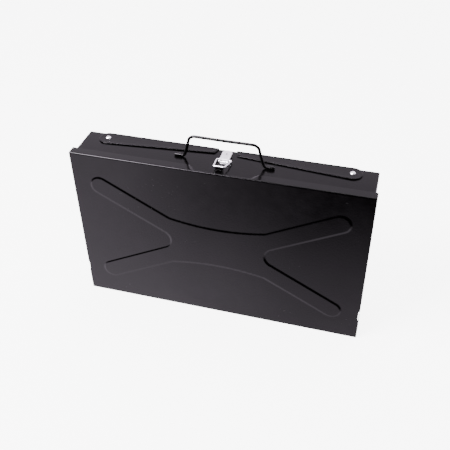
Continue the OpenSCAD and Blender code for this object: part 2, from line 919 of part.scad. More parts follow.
// Upright bars welded to the front of a cooking grate's frame
module cooking_grate_bars(side) {
    span = cook_length - 2 * grate_corner_r - 2 * grate_frame_r;
    count = floor(span / cook_pitch);
    half = cook_height / 2 - grate_frame_r;
    bar_y = cook_y - grate_frame_r - grate_bar_r - weld_gap;
    color(chrome)
    translate([side * (grate_mid_gap / 2 + cook_length / 2), bar_y, grate_mid_z])
        for (i = [0 : count])
            translate([(i - count / 2) * cook_pitch, 0, -half])
                cylinder(h = 2 * half, r = grate_bar_r);
}

module cooking_grate_left_frame() {
    cooking_grate_frame(-1);
}

module cooking_grate_right_frame() {
    cooking_grate_frame(1);
}

module cooking_grate_left_bars() {
    cooking_grate_bars(-1);
}

module cooking_grate_right_bars() {
    cooking_grate_bars(1);
}

// Charcoal grate: a wire frame with four feet that stand on the back panel
module charcoal_grate_frame() {
    foot_length = coal_standoff - weld_gap;
    foot_x = coal_length / 2 - grate_frame_r;
    foot_z = coal_height / 4;
    color(bare_steel)
    translate([0, coal_y, grate_mid_z])
        rotate([90, 0, 0]) {
            wire_frame(coal_length - 2 * grate_frame_r, coal_height - 2 * grate_frame_r,
                       grate_corner_r, grate_frame_r);
            for (sx = [-1, 1], sz = [-1, 1])
                rod([sx * foot_x, sz * foot_z, 0], [sx * foot_x, sz * foot_z, -foot_length], grate_frame_r * 0.9);
        }
}

module charcoal_grate_bars() {
    span = coal_length - 2 * grate_corner_r - 2 * grate_frame_r;
    count = floor(span / coal_pitch);
    half = coal_height / 2 - grate_frame_r;
    bar_y = coal_y - grate_frame_r - grate_bar_r - weld_gap;
    color(bare_steel)
    translate([0, bar_y, grate_mid_z])
        for (i = [0 : count])
            translate([(i - count / 2) * coal_pitch, 0, -half])
                cylinder(h = 2 * half, r = grate_bar_r);
}

tray_shell();
grate_rail_top();
grate_rail_bottom();
charcoal_grate_frame();
charcoal_grate_bars();
cooking_grate_left_frame();
cooking_grate_left_bars();
cooking_grate_right_frame();
cooking_grate_right_bars();
leg_rivets();
leg_spacers();
leg_top_left();
leg_top_right();
leg_bottom_left();
leg_bottom_right();
handle_bracket_left();
handle_bracket_right();
handle();
latch_base();
latch_base_rivets();
latch_pin();
latch_lever();
latch_bail();
hinge_left_tray_leaf();
hinge_right_tray_leaf();
hinge_left_lid_leaf();
hinge_right_lid_leaf();
hinge_left_pin();
hinge_right_pin();
lid_shell();
keeper();
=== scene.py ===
import json
import math
import bpy
import bmesh
import numpy as np
from mathutils import Matrix, Vector


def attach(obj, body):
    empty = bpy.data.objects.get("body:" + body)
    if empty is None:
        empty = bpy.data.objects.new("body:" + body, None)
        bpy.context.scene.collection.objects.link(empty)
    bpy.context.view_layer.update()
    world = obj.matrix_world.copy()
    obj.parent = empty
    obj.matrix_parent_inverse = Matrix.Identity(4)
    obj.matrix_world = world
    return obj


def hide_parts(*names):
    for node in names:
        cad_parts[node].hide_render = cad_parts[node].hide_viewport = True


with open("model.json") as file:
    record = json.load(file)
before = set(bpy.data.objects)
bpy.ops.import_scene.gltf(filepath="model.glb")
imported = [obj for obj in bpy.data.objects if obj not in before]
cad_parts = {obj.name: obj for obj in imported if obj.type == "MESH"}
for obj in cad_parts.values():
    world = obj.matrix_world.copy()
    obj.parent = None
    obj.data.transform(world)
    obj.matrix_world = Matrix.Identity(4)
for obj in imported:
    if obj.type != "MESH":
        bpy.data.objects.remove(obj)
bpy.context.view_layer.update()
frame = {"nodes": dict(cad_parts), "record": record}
MM = 0.001

# ---------------------------------------------------------------- sizes, in mm

CASE_HALF = 225.0
CASE_TOP = 274.0
SHEET = 0.8

LID_FACE = -35.0
LID_BACK = -20.0
LID_BEND = 1.8
FLANGE_START = -33.0
FLANGE_LEAN = 0.45
SLOT_LOW = 40.0
SLOT_HIGH = 58.0

TRAY_HALF = 221.3
TRAY_TOP = 269.5
TRAY_FOOT = 5.8
TRAY_BACK = 35.0
TRAY_BEND = 1.4

RECESS_X = 8.0
RECESS_BACK = 51.0
RECESS_FRONT = 44.0
RECESS_START = -32.0
RECESS_DEPTH = 3.1
RECESS_EASE = 0.4
RECESS_SIDE_SLOPE = 3.4
RECESS_FRONT_SLOPE = 3.2

CROSS_RISE = 1.0
CROSS_RAMP = 1.35
ARM_R = 15.0
END_X = CASE_HALF - 44.0
END_Z = CASE_TOP / 2 - 53.0
WAIST_X = 74.0
WAIST_Z = 36.5
WAIST_SAG = 7.5
FORK_R = 17.0

PIVOT_X = 185.0
PIVOT_Y = 20.5
LEG_END_R = 14.0
LEG_FOOT_WIDTH = 13.0
LEG_FEET_GAP = 34.0
LEG_FOOT_SLANT = 4.0
LEG_GAP = 0.3
LEG_DEPTH = 1.8
LEG_BEND = 0.7
LEG_CORNER = 1.6
LEG_SHEET = 0.7

VENT_COUNT = 5
VENT_R = 4.0
VENT_PITCH = 32.0

CARRY_X = 2.0
HANDLE_Y = 3.0
HANDLE_Z = 271.8
HANDLE_R = 2.1
HANDLE_HALF = [(75.0, 0.0), (60.0, 0.0), (56.5, 9.0), (50.5, 34.5)]
HANDLE_BENDS = [0, 4.5, 4.5, 10.0]

BAIL_Y = 5.5
BAIL_Z = 272.4
BAIL_R = 1.1
BAIL_CLEARANCE = 0.35
BAIL_FRONT_X = 8.0
BAIL_BACK_X = 11.2
BAIL_FOOT_X = 2.0
BAIL_BEND = 2.0
KEEPER_RISE = 3.6
KEEPER_WALL = 1.2
KEEPER_TO_BAR = 1.0

# ---------------------------------------------------------------- camera

cam_data = bpy.data.cameras.new("camera")
cam_data.sensor_width = 36.0
cam_data.lens = 55.25
cam_data.clip_start = 0.01
cam_data.clip_end = 100.0
cam = bpy.data.objects.new("camera", cam_data)
bpy.context.scene.collection.objects.link(cam)
right = Vector((0.961904, 0.273049, -0.013601))
down = Vector((0.162236, -0.610158, -0.775492))
ahead = Vector((-0.220046, 0.743742, -0.631211))
cam.matrix_world = Matrix((
    (right.x, -down.x, -ahead.x, 0.23732),
    (right.y, -down.y, -ahead.y, -0.79201),
    (right.z, -down.z, -ahead.z, 0.82807),
    (0, 0, 0, 1),
))
bpy.context.scene.camera = cam

# ---------------------------------------------------------------- shader nodes


def new_material(name):
    material = bpy.data.materials.new(name)
    material.use_nodes = True
    tree = material.node_tree
    tree.nodes.clear()
    out = tree.nodes.new("ShaderNodeOutputMaterial")
    shader = tree.nodes.new("ShaderNodeBsdfPrincipled")
    tree.links.new(shader.outputs["BSDF"], out.inputs["Surface"])
    place = tree.nodes.new("ShaderNodeTexCoord").outputs["Object"]
    return material, tree, shader, place


def stretched(tree, place, scale):
    mapping = tree.nodes.new("ShaderNodeMapping")
    mapping.inputs["Scale"].default_value = scale
    tree.links.new(place, mapping.inputs["Vector"])
    return mapping.outputs["Vector"]


def noise(tree, place, scale, detail=3.0, rough=0.5, distort=0.0):
    node = tree.nodes.new("ShaderNodeTexNoise")
    node.inputs["Scale"].default_value = scale
    node.inputs["Detail"].default_value = detail
    node.inputs["Roughness"].default_value = rough
    node.inputs["Distortion"].default_value = distort
    tree.links.new(place, node.inputs["Vector"])
    return node.outputs["Fac"]


def colour_ramp(tree, value, stops):
    """Colour from a value by two stops, each a position and a colour"""
    node = tree.nodes.new("ShaderNodeValToRGB")
    for element, (position, colour) in zip(node.color_ramp.elements, stops):
        element.position = position
        element.color = (*colour, 1.0)
    tree.links.new(value, node.inputs["Fac"])
    return node.outputs["Color"]


def remap(tree, value, from_min, from_max, to_min, to_max):
    """A value moved linearly from one range to another, and held at its ends"""
    node = tree.nodes.new("ShaderNodeMapRange")
    node.clamp = True
    node.inputs["From Min"].default_value = from_min
    node.inputs["From Max"].default_value = from_max
    node.inputs["To Min"].default_value = to_min
    node.inputs["To Max"].default_value = to_max
    tree.links.new(value, node.inputs["Value"])
    return node.outputs["Result"]


def calc(tree, operation, a, b):
    """A math node of two sockets or numbers"""
    node = tree.nodes.new("ShaderNodeMath")
    node.operation = operation
    for socket, value in zip(node.inputs, (a, b)):
        if isinstance(value, float):
            socket.default_value = value
        else:
            tree.links.new(value, socket)
    return node.outputs[0]


def mix_colour(tree, factor, a, b):
    """A colour mix of two sockets or plain colours"""
    node = tree.nodes.new("ShaderNodeMix")
    node.data_type = "RGBA"
    tree.links.new(factor, node.inputs[0])
    for socket, value in ((node.inputs[6], a), (node.inputs[7], b)):
        if isinstance(value, tuple):
            socket.default_value = (*value, 1.0)
        else:
            tree.links.new(value, socket)
    return node.outputs[2]


def bump(tree, shader, heights):
    """Chained bumps, each a height socket, a strength and a distance"""
    normal = None
    for height, strength, distance in heights:
        node = tree.nodes.new("ShaderNodeBump")
        node.inputs["Strength"].default_value = strength
        node.inputs["Distance"].default_value = distance
        tree.links.new(height, node.inputs["Height"])
        if normal is not None:
            tree.links.new(normal, node.inputs["Normal"])
        normal = node.outputs["Normal"]
    tree.links.new(normal, shader.inputs["Normal"])


# ---------------------------------------------------------------- materials

PAINT_IOR = 1.5
PAINT_SPECULAR = 0.13
PAINT_DARK = (0.0003, 0.0002, 0.0003)
PAINT_LIGHT = (0.0008, 0.0006, 0.0008)
MARK_GREY = (0.22, 0.21, 0.215)
ZINC_BRIGHT = (0.93, 0.935, 0.95)
ZINC_CLOUD = (0.84, 0.84, 0.86)
STEEL_GREY = (0.40, 0.39, 0.38)
CHROME_GREY = (0.74, 0.75, 0.77)
PAPER_GREY = (0.86, 0.86, 0.865)
PAPER_WHITE = (0.88, 0.88, 0.88)


def dust_nibs(tree, place, dust):
    """Tiny pale grains held in the paint"""
    cells = tree.nodes.new("ShaderNodeTexVoronoi")
    cells.inputs["Scale"].default_value = 130.0
    tree.links.new(place, cells.inputs["Vector"])
    grain = remap(tree, cells.outputs["Distance"], 0.02, 0.05, 1.0, 0.0)
    chosen = remap(tree, noise(tree, place, 37.0, 1.0), 0.63, 0.70, 0.0, 0.35 * dust)
    return calc(tree, "MULTIPLY", grain, chosen)


def scuffs(tree, place, dust):
    """Long thin rubs, in patches"""
    streaks = noise(tree, stretched(tree, place, (22.0, 22.0, 260.0)), 6.0, 2.0, 0.5, 0.6)
    line = remap(tree, streaks, 0.735, 0.76, 0.0, 1.0)
    patch = remap(tree, noise(tree, place, 14.0, 2.0), 0.56, 0.68, 0.0, 0.45 * dust)
    return calc(tree, "MULTIPLY", line, patch)


def black_paint(name, peel, rough, dust):
    """Sprayed and baked black enamel: fine orange peel, a faint haze, dust nibs and a few scuffs"""
    material, tree, shader, place = new_material(name)
    cloud = noise(tree, place, 9.0, 4.0, 0.55)
    mark = calc(tree, "MAXIMUM", dust_nibs(tree, place, dust), scuffs(tree, place, dust))
    paint = colour_ramp(tree, cloud, [(0.25, PAINT_DARK), (0.75, PAINT_LIGHT)])
    tree.links.new(mix_colour(tree, mark, paint, MARK_GREY), shader.inputs["Base Color"])
    haze = remap(tree, cloud, 0.3, 0.7, rough - 0.035, rough + 0.05)
    patchy = remap(tree, noise(tree, place, 60.0, 3.0), 0.35, 0.7, 0.0, 0.05)
    clean = calc(tree, "ADD", haze, patchy)
    rubbed = calc(tree, "ADD", clean, calc(tree, "MULTIPLY", mark, 0.35))
    tree.links.new(rubbed, shader.inputs["Roughness"])
    shader.inputs["IOR"].default_value = PAINT_IOR
    shader.inputs["Specular IOR Level"].default_value = PAINT_SPECULAR
    bump(tree, shader, [
        (noise(tree, place, 330.0, 2.0, 0.5), 0.10 * peel, 0.00025),
        (noise(tree, place, 900.0, 2.0, 0.5), 0.05 * peel, 0.00008),
        (mark, 0.25, 0.00006),
    ])
    return material


def plated(name, rough, along):
    """Bright zinc plate: brushed streaks and cloudy passivation"""
    material, tree, shader, place = new_material(name)
    cloud = noise(tree, place, 140.0, 4.0, 0.6)
    colour = mix_colour(tree, remap(tree, cloud, 0.4, 0.75, 0.0, 0.6), ZINC_BRIGHT, ZINC_CLOUD)
    tree.links.new(colour, shader.inputs["Base Color"])
    shader.inputs["Metallic"].default_value = 1.0
    streak = noise(tree, stretched(tree, place, along), 6.0, 3.0, 0.6)
    brushed = remap(tree, streak, 0.3, 0.7, rough - 0.06, rough + 0.08)
    dulled = remap(tree, cloud, 0.45, 0.7, 0.0, 0.1)
    tree.links.new(calc(tree, "ADD", brushed, dulled), shader.inputs["Roughness"])
    bump(tree, shader, [
        (streak, 0.10, 0.00006),
        (noise(tree, place, 700.0, 2.0), 0.06, 0.00005),
    ])
    return material


def drawn_wire(name, colour, rough):
    """Drawn wire with die lines and a little oxide in the low spots"""
    material, tree, shader, place = new_material(name)
    oxide = noise(tree, place, 90.0, 5.0, 0.65)
    dark = tuple(channel * 0.55 for channel in colour)
    stained = mix_colour(tree, remap(tree, oxide, 0.5, 0.75, 0.0, 0.7), colour, dark)
    tree.links.new(stained, shader.inputs["Base Color"])
    shader.inputs["Metallic"].default_value = 1.0
    lines = noise(tree, stretched(tree, place, (1500.0, 1500.0, 40.0)), 1.2, 2.0)
    drawn = remap(tree, lines, 0.3, 0.7, rough - 0.05, rough + 0.06)
    dulled = remap(tree, oxide, 0.5, 0.8, 0.0, 0.2)
    tree.links.new(calc(tree, "ADD", drawn, dulled), shader.inputs["Roughness"])
    bump(tree, shader, [(lines, 0.12, 0.00005), (oxide, 0.10, 0.0001)])
    return material


def floor_paper():
    """White studio paper, lit evenly enough to glow"""
    material, tree, shader, place = new_material("floor_paper")
    tone = colour_ramp(tree, noise(tree, place, 18.0, 4.0), [(0.3, PAPER_GREY), (0.7, PAPER_WHITE)])
    tree.links.new(tone, shader.inputs["Base Color"])
    shader.inputs["Roughness"].default_value = 0.9
    shader.inputs["Specular IOR Level"].default_value = 0.1
    shader.inputs["Emission Color"].default_value = (1, 1, 1, 1)
    shader.inputs["Emission Strength"].default_value = 6.1
    bump(tree, shader, [(noise(tree, place, 400.0, 3.0), 0.05, 0.0002)])
    return material


PANEL_PAINT = black_paint("paint_panel", peel=1.0, rough=0.14, dust=1.0)
SMALL_PAINT = black_paint("paint_small", peel=0.8, rough=0.2, dust=0.4)
WIRE_PAINT = black_paint("paint_wire", peel=0.9, rough=0.24, dust=0.2)
ZINC = plated("zinc_plate", rough=0.3, along=(40.0, 900.0, 900.0))
ZINC_WIRE = plated("zinc_wire", rough=0.24, along=(400.0, 400.0, 60.0))
BARE_WIRE = drawn_wire("bare_wire", STEEL_GREY, 0.38)
BRIGHT_WIRE = drawn_wire("bright_wire", CHROME_GREY, 0.13)
SLOT_MATERIALS = {
    "black_paint": SMALL_PAINT,
    "zinc": ZINC,
    "bare_steel": BARE_WIRE,
    "chrome": BRIGHT_WIRE,
}

# ---------------------------------------------------------------- mesh helpers


def link(name, mesh):
    ob = bpy.data.objects.new(name, mesh)
    bpy.context.scene.collection.objects.link(ob)
    return ob


def make(name, verts, faces, material, smooth=True):
    """A mesh object from vertices in mm"""
    mesh = bpy.data.meshes.new(name)
    mesh.from_pydata([(x * MM, y * MM, z * MM) for x, y, z in verts], [], faces)
    mesh.update()
    bm = bmesh.new()
    bm.from_mesh(mesh)
    bmesh.ops.remove_doubles(bm, verts=bm.verts, dist=1e-6)
    bmesh.ops.recalc_face_normals(bm, faces=bm.faces)
    bm.to_mesh(mesh)
    bm.free()
    for polygon in mesh.polygons:
        polygon.use_smooth = smooth
    mesh.materials.append(material)
    return link(name, mesh)


def split_edges(ob, degrees):
    split = ob.modifiers.new("edges", "EDGE_SPLIT")
    split.split_angle = math.radians(degrees)
    split.use_edge_sharp = False


def thicken(ob, thickness):
    """Gives a surface the sheet's thickness on its inner side"""
    sheet = ob.modifiers.new("sheet", "SOLIDIFY")
    sheet.thickness = thickness * MM
    sheet.offset = -1.0
    return sheet


def apply_modifiers(ob):
    depsgraph = bpy.context.evaluated_depsgraph_get()
    mesh = bpy.data.meshes.new_from_object(ob.evaluated_get(depsgraph))
    ob.modifiers.clear()
    ob.data = mesh


def stands_for(ob, body, node):
    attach(ob, body)
    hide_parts(node)


def smoothstep(t):
    t = np.clip(t, 0.0, 1.0)
    return t * t * (3 - 2 * t)


def bend_path(points, radii, step):
    """Flat path with each inner corner rounded to its own radius, an arc point every step degrees"""
    out = [np.array(points[0], float)]
    for i in range(1, len(points) - 1):
        a, b, c = (np.array(points[k], float) for k in (i - 1, i, i + 1))
        u = (b - a) / np.linalg.norm(b - a)
        v = (c - b) / np.linalg.norm(c - b)
        turn = math.atan2(u[0] * v[1] - u[1] * v[0], u @ v)
        side = math.copysign(1, turn)
        entry = b - u * radii[i] * math.tan(abs(turn) / 2)
        centre = entry + side * radii[i] * np.array([-u[1], u[0]])
        start = math.atan2(*(entry - centre)[::-1])
        count = max(2, int(math.ceil(abs(math.degrees(turn)) / step)))
        for k in range(count + 1):
            t = start + turn * k / count
            out.append(centre + radii[i] * np.array([math.cos(t), math.sin(t)]))
    out.append(np.array(points[-1], float))
    return out


def resample(points, step):
    """Adds points on the long straights so that small wobbles have somewhere to go"""
    out = [points[0]]
    for a, b in zip(points[:-1], points[1:]):
        count = max(1, int(np.linalg.norm(b - a) / step))
        for k in range(1, count + 1):
            out.append(a + (b - a) * k / count)
    return out


def wire_rings(points, radius):
    """Centre, two normals and radius of each ring along a wire, without twist, its cut ends broken"""
    last = len(points) - 1
    tangents = [(points[min(i + 1, last)] - points[max(i - 1, 0)]).normalized() for i in range(last + 1)]
    up = Vector((0, 0, 1)) if abs(tangents[0].z) < 0.9 else Vector((1, 0, 0))
    normal = (up - tangents[0] * up.dot(tangents[0])).normalized()
    rings = []
    for i, (point, tangent) in enumerate(zip(points, tangents)):
        if i:
            normal = tangents[i - 1].rotation_difference(tangent) @ normal
            normal = (normal - tangent * normal.dot(tangent)).normalized()
        rings.append((point, normal.copy(), tangent.cross(normal), radius))
    chamfer = 0.35 * radius
    head, tail = [], []
    for inward, cut in ((0.0, 1.0), (0.3, 0.3), (1.0, 0.0)):
        point, a, b, _ = rings[0]
        head.append((point + tangents[0] * chamfer * inward, a, b, radius - chamfer * cut))
        point, a, b, _ = rings[-1]
        tail.insert(0, (point - tangents[-1] * chamfer * inward, a, b, radius - chamfer * cut))
    return head + rings[1:-1] + tail


def wire(name, points, radius, sides, material):
    """A round wire swept along 3-D points in mm"""
    rings = wire_rings([Vector(p) for p in points], radius)
    verts, faces = [], []
    for point, a, b, ring_r in rings:
        for k in range(sides):
            t = 2 * math.pi * k / sides
            verts.append(point + a * ring_r * math.cos(t) + b * ring_r * math.sin(t))
    for i in range(len(rings) - 1):
        for k in range(sides):
            m = (k + 1) % sides
            low, high = i * sides, (i + 1) * sides
            faces.append((low + k, low + m, high + m, high + k))
    faces.append(tuple(range(sides))[::-1])
    faces.append(tuple((len(rings) - 1) * sides + k for k in range(sides)))
    return make(name, verts, faces, material)


def refined(node, body, material, width, segments):
    """The CAD node's own shape with its sharp edges broken, as stamped and deburred metal has"""
    mesh = frame["nodes"][node].data.copy()
    bm = bmesh.new()
    bm.from_mesh(mesh)
    bmesh.ops.remove_doubles(bm, verts=bm.verts, dist=2e-6)
    bmesh.ops.dissolve_limit(bm, angle_limit=math.radians(0.6), verts=bm.verts, edges=bm.edges)
    bm.to_mesh(mesh)
    bm.free()
    mesh.materials.clear()
    mesh.materials.append(material)
    for attribute in list(mesh.attributes):
        if attribute.name.startswith("custom_normal"):
            mesh.attributes.remove(attribute)
    for polygon in mesh.polygons:
        polygon.use_smooth = True
    ob = link(node + "_finished", mesh)
    bevel = ob.modifiers.new("bevel", "BEVEL")
    bevel.width = width * MM
    bevel.segments = segments
    bevel.limit_method = "ANGLE"
    bevel.angle_limit = math.radians(30)
    bevel.use_clamp_overlap = True
    bevel.harden_normals = False
    normals = ob.modifiers.new("normals", "WEIGHTED_NORMAL")
    normals.keep_sharp = True
    apply_modifiers(ob)
    stands_for(ob, body, node)


# ---------------------------------------------------------------- pressed cross

CROSS_EDGE_Z = WAIST_Z + WAIST_SAG
SAG_R = (WAIST_X ** 2 + WAIST_SAG ** 2) / (2 * WAIST_SAG)
ARM_RUN_X = END_X - WAIST_X
ARM_RUN_Z = END_Z - CROSS_EDGE_Z
ARM_RUN = math.hypot(ARM_RUN_X, ARM_RUN_Z)
ARM_ANGLE = math.atan2(ARM_RUN_Z, ARM_RUN_X) + math.asin(ARM_R / ARM_RUN)
FORK_X = END_X - (END_Z * math.cos(ARM_ANGLE) - ARM_R - FORK_R) / math.sin(ARM_ANGLE)


def cross_distance(x, z):
    """How far a point lies inside the cross's outline, about the panel's middle, in mm"""
    x_abs, z_abs = np.abs(x), np.abs(z)
    along_x, along_z = -math.cos(ARM_ANGLE), -math.sin(ARM_ANGLE)
    from_x, from_z = x_abs - END_X, z_abs - END_Z
    t = np.clip(from_x * along_x + from_z * along_z, 0, ARM_RUN + ARM_R)
    arm = ARM_R - np.hypot(from_x - t * along_x, from_z - t * along_z)
    middle_x = FORK_X - FORK_R * math.sin(ARM_ANGLE) + 4.0
    middle = np.minimum(middle_x - x_abs, CROSS_EDGE_Z - z_abs)
    inside = np.maximum(arm, middle)
    inside = np.minimum(inside, np.hypot(x_abs - FORK_X, z_abs) - FORK_R)
    waist = np.hypot(x, z_abs - WAIST_Z - SAG_R) - SAG_R
    return np.where(x_abs < WAIST_X, np.minimum(inside, waist), inside)


def cross_height(x, z):
    return CROSS_RISE * smoothstep((cross_distance(x, z) + 0.2) / CROSS_RAMP)


def sheet_wave(x, z, edge):
    """The slow waviness of a thin pressed panel, none at its edges"""
    wave = np.sin(x / 47.0 + 0.8) * np.cos(z / 61.0 - 0.5)
    return (wave + 0.5 * np.sin(x / 23.0 - (z + CASE_TOP / 2) / 39.0)) * smoothstep(edge / 30.0)


# ---------------------------------------------------------------- shells

CORNER_STEPS = 6
BEND_STEPS = 6


def spaced(start, end, step, keep=()):
    """Even positions, the nearest one moved to each value in keep"""
    values = list(np.linspace(start, end, max(2, int(round((end - start) / step)) + 1)))
    for wanted in keep:
        values[int(np.argmin([abs(v - wanted) for v in values]))] = wanted
    return sorted(values)


def panel_rim(xs, zs):
    """The panel's rim, anticlockwise: grid place, X, Z, and the outward direction with rounded corners"""
    nx, nz = len(xs), len(zs)
    sides = (
        ([(i, 0) for i in range(nx)], 0.0, -1.0),
        ([(nx - 1, k) for k in range(nz)], 1.0, 0.0),
        ([(i, nz - 1) for i in reversed(range(nx))], 0.0, 1.0),
        ([(0, k) for k in reversed(range(nz))], -1.0, 0.0),
    )
    rim = []
    for number, (cells, out_x, out_z) in enumerate(sides):
        rim += [(i * nz + k, xs[i], zs[k], out_x, out_z) for i, k in cells]
        i, k = cells[-1]
        for c in range(1, CORNER_STEPS):
            t = math.pi / 2 * (number - 1 + c / CORNER_STEPS)
            rim.append((i * nz + k, xs[i], zs[k], math.cos(t), math.sin(t)))
    return rim


def wall_levels(bend, rows):
    """How far out and how deep each ring of the turned edge lies: round the bend, then down the wall"""
    turns = np.linspace(0, math.pi / 2, BEND_STEPS + 1)[1:]
    return [(bend * math.sin(a), bend * (1 - math.cos(a))) for a in turns] + [(bend, d) for d in rows]


def pressed_shell(name, half, foot, top, face, out, bend, step, rows, wave,
                  dent=None, slots=False, keep_x=()):
    """A deep-drawn tray of sheet: a panel with the pressed cross, round bends and turned edges.
    face is the panel's Y and out its outward sign. dent lowers the top edge, by X and Y."""
    xs = spaced(-half + bend, half - bend, step, keep_x)
    zs = spaced(foot + bend, top - bend, step, (SLOT_LOW, SLOT_HIGH) if slots else ())
    nx, nz = len(xs), len(zs)
    grid_x, grid_z = np.meshgrid(xs, zs, indexing="ij")
    from_middle = grid_z - CASE_TOP / 2
    edge = np.minimum(np.minimum(half - np.abs(grid_x), grid_z - foot), top - grid_z)
    height = cross_height(grid_x, from_middle) + wave * sheet_wave(grid_x, from_middle, edge)
    verts = [(grid_x[i, k], face + out * height[i, k], grid_z[i, k]) for i in range(nx) for k in range(nz)]
    faces = []
    for i in range(nx - 1):
        for k in range(i * nz, i * nz + nz - 1):
            faces.append((k, k + nz, k + nz + 1, k + 1))
    rim = panel_rim(xs, zs)
    previous = [place[0] for place in rim]
    for offset, depth in wall_levels(bend, rows):
        current = []
        for _, rim_x, rim_z, out_x, out_z in rim:
            x, y, z = rim_x + offset * out_x, face - out * depth, rim_z + offset * out_z
            if dent and out_z == 1.0:
                z -= dent(x, y)
            current.append(len(verts))
            verts.append((x, y, z))
        for a in range(len(rim)):
            b = (a + 1) % len(rim)
            at_end = abs(rim[a][3]) == 1.0 and abs(rim[b][3]) == 1.0
            if slots and at_end and SLOT_LOW < (rim[a][2] + rim[b][2]) / 2 < SLOT_HIGH:
                continue
            corners = [previous[a], previous[b], current[b], current[a]]
            corners = [v for i, v in enumerate(corners) if v != corners[i - 1]]
            if len(corners) > 2:
                faces.append(tuple(corners))
        previous = current
    ob = make(name, verts, faces, PANEL_PAINT)
    centre = Vector((0, face, CASE_TOP / 2)) * MM
    middle = min(ob.data.polygons, key=lambda p: (p.center - centre).length)
    if middle.normal.y * out < 0:
        ob.data.flip_normals()
    thicken(ob, SHEET).use_even_offset = True
    return ob


def lid_dent(x, y):
    """How far the lid's top edge lies below the case's top: the recess for the latch, and a slight lean"""
    slant = (RECESS_BACK - RECESS_FRONT) / (LID_BACK - RECESS_START)
    from_side = (RECESS_FRONT + slant * (y - RECESS_START) - abs(x - RECESS_X)) / math.hypot(1, slant)
    from_front = y - RECESS_START
    share = float(smoothstep((from_side + RECESS_EASE) / RECESS_SIDE_SLOPE))
    share *= float(smoothstep((from_front + RECESS_EASE) / RECESS_FRONT_SLOPE))
    lean = FLANGE_LEAN * max(0.0, (y - FLANGE_START) / (LID_BACK - FLANGE_START))
    return RECESS_DEPTH * share + lean * (1 - share)


def lid_shell():
    rows = [2.4, 2.7, 3.0, 3.4, 3.8, 4.3, 4.8, 5.4, 6.0, 7.0, 8.0, 9.0, 10.5, 12.0, 13.5, 14.4, 15.0]
    recess_ends = [RECESS_X + side * x for side in (-1, 1) for x in (RECESS_BACK, RECESS_FRONT)]
    lid = pressed_shell("lid_finished", CASE_HALF, 0.0, CASE_TOP, LID_FACE, -1, LID_BEND, 1.15, rows, 0.10,
                        dent=lid_dent, slots=True, keep_x=recess_ends)
    split_edges(lid, 40)
    stands_for(lid, "lid", "lid_shell")


def vent_cutter():
    """The round plugs that cut the air holes through both end walls"""
    sides = 32
    verts, faces = [], []
    for end in (-1, 1):
        for i in range(VENT_COUNT):
            z = (TRAY_TOP + TRAY_FOOT) / 2 + (i - (VENT_COUNT - 1) / 2) * VENT_PITCH
            base = len(verts)
            for x in (end * (TRAY_HALF - 5.3), end * (TRAY_HALF + 4.7)):
                for k in range(sides):
                    t = 2 * math.pi * k / sides
                    verts.append((x, PIVOT_Y + VENT_R * math.cos(t), z + VENT_R * math.sin(t)))
            near = [base + k for k in range(sides)]
            far = [k + sides for k in near]
            for k in range(sides):
                m = (k + 1) % sides
                faces.append((near[k], near[m], far[m], far[k]))
            faces += [tuple(near), tuple(far)]
    return make("vent_cutter", verts, faces, PANEL_PAINT, smooth=False)


def tray_shell():
    rows = [3.2, 4.0, 6.0, 10.0, 16.0, 22.0, 28.0, 34.0, 40.0, 46.0, 52.0, 58.0, 62.0, 65.0, 66.0]
    tray = pressed_shell("tray_finished", TRAY_HALF, TRAY_FOOT, TRAY_TOP, TRAY_BACK, 1, TRAY_BEND, 1.6,
                         rows, 0.12)
    apply_modifiers(tray)
    cutter = vent_cutter()
    vents = tray.modifiers.new("vents", "BOOLEAN")
    vents.operation = "DIFFERENCE"
    vents.object = cutter
    vents.solver = "EXACT"
    split_edges(tray, 40)
    apply_modifiers(tray)
    bpy.data.objects.remove(cutter)
    stands_for(tray, "tray", "tray_shell")


lid_shell()
tray_shell()

# ---------------------------------------------------------------- legs

LEG_REACH = PIVOT_X - LEG_FEET_GAP / 2
LEG_FOOT_V = LEG_END_R - LEG_FOOT_WIDTH
LEG_SLOPE = math.atan2(LEG_FOOT_V, LEG_REACH) + math.asin(LEG_END_R / math.hypot(LEG_REACH, LEG_FOOT_V))


def leg_outline(inset):
    """Closed outline about the rivet, foot towards +X, with the foot's corners rounded"""
    r = LEG_END_R
    corners = [
        (r * math.sin(LEG_SLOPE), -r * math.cos(LEG_SLOPE)),
        (LEG_REACH, LEG_REACH * math.tan(LEG_SLOPE) - r / math.cos(LEG_SLOPE)),
        (LEG_REACH + LEG_FOOT_SLANT, r),
        (0.0, r),
    ]
    path = bend_path(corners, [0, LEG_CORNER, LEG_CORNER, 0], 15)
    points = resample(path, 8.0)
    start, end = math.pi / 2, math.pi * 1.5 + LEG_SLOPE
    for t in np.linspace(start, end, 37)[1:-1]:
        points.append(np.array([r * math.cos(t), r * math.sin(t)]))
    points = np.array(points)
    tangents = np.roll(points, -1, 0) - np.roll(points, 1, 0)
    tangents /= np.linalg.norm(tangents, axis=1)[:, None]
    outward = np.stack([tangents[:, 1], -tangents[:, 0]], 1)
    return points - outward * inset


def leg_rings():
    """Inset and height of each ring of the channel: up its side, round the bend, onto the web"""
    top = LEG_GAP + LEG_DEPTH
    rings = [(0.0, LEG_GAP), (0.0, LEG_GAP + 0.3), (0.0, top - LEG_BEND)]
    for a in np.linspace(0, math.pi / 2, 6)[1:]:
        rings.append((LEG_BEND * (1 - math.cos(a)), top - LEG_BEND + LEG_BEND * math.sin(a)))
    # the web dips a hair towards its middle, as a folded channel does
    return rings + [(2.0, top - 0.02), (3.2, top - 0.09), (5.0, top - 0.13)]


